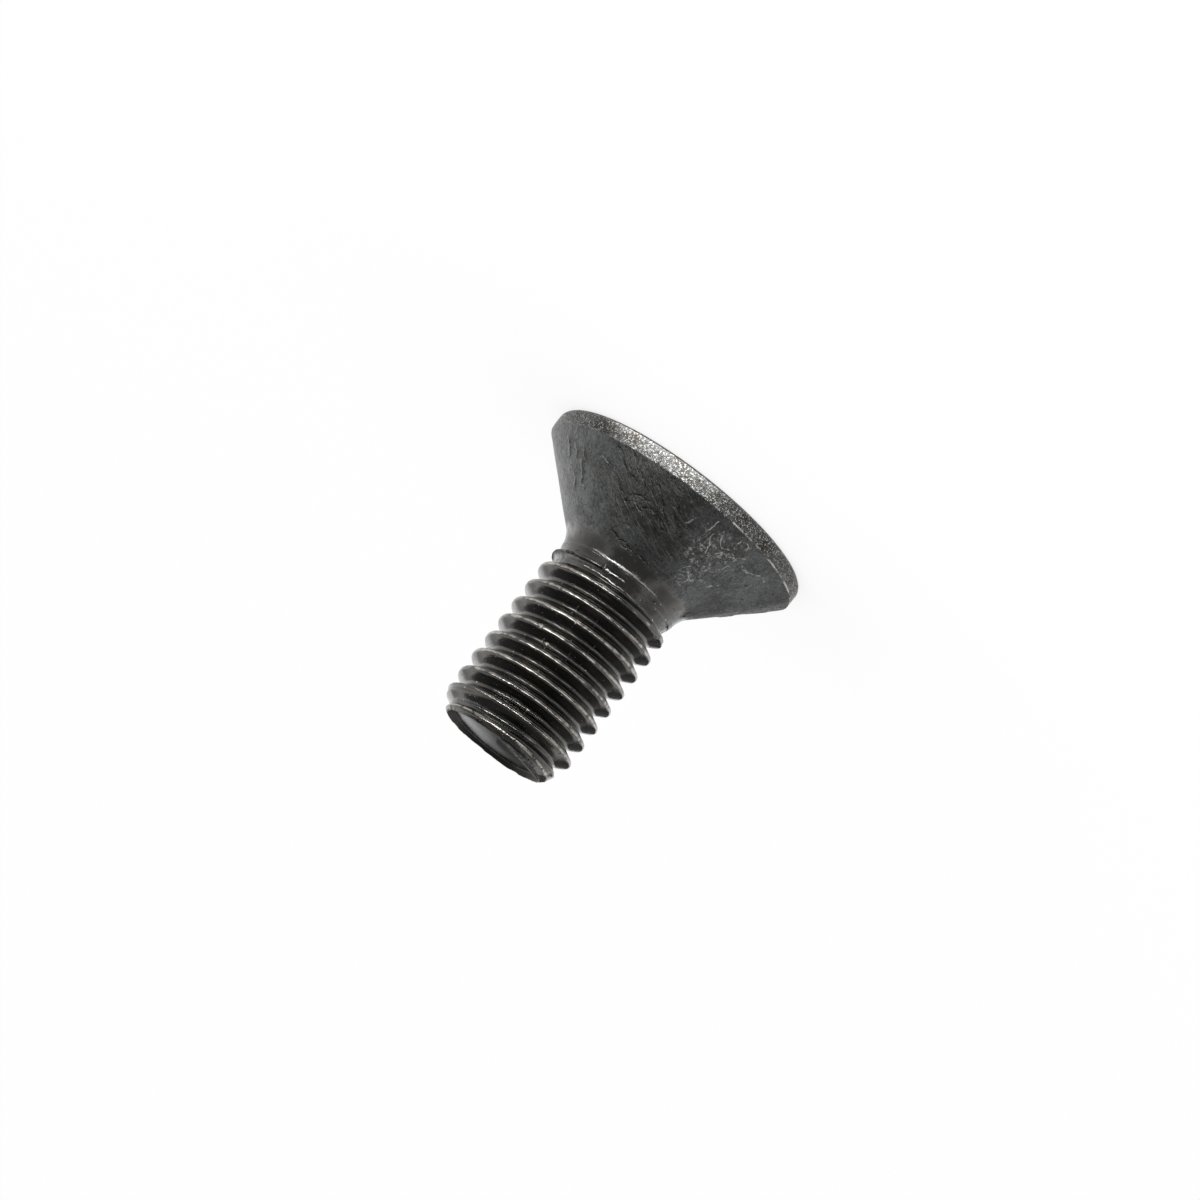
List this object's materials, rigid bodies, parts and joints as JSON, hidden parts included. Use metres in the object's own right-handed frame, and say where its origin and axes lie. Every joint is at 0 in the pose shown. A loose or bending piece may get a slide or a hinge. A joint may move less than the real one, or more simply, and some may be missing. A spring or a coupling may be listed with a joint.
{
  "type": "countersunk socket head cap screw",
  "caption": "Flush-fitting screw with a countersunk head, a hex socket, a short neck and a coarse right-hand rolled thread, in black-finished steel.",
  "frame": {"origin": "centre of the head's flat face, which the screw stands on", "axes": "+Z along the screw's axis from the head face to the tip; a thread crest crosses the +X side 9.50 mm above the head face, and the hex socket has two corners on the X axis"},
  "size_m": [0.0198, 0.0198, 0.0212],
  "materials": {
    "black_oxide_steel": "black oxide, thinly oiled: satin on the forged head, glossy on the rolled thread"
  },
  "bodies": {
    "root": {"countersunk_screw": "black_oxide_steel"}
  },
  "joints": []
}
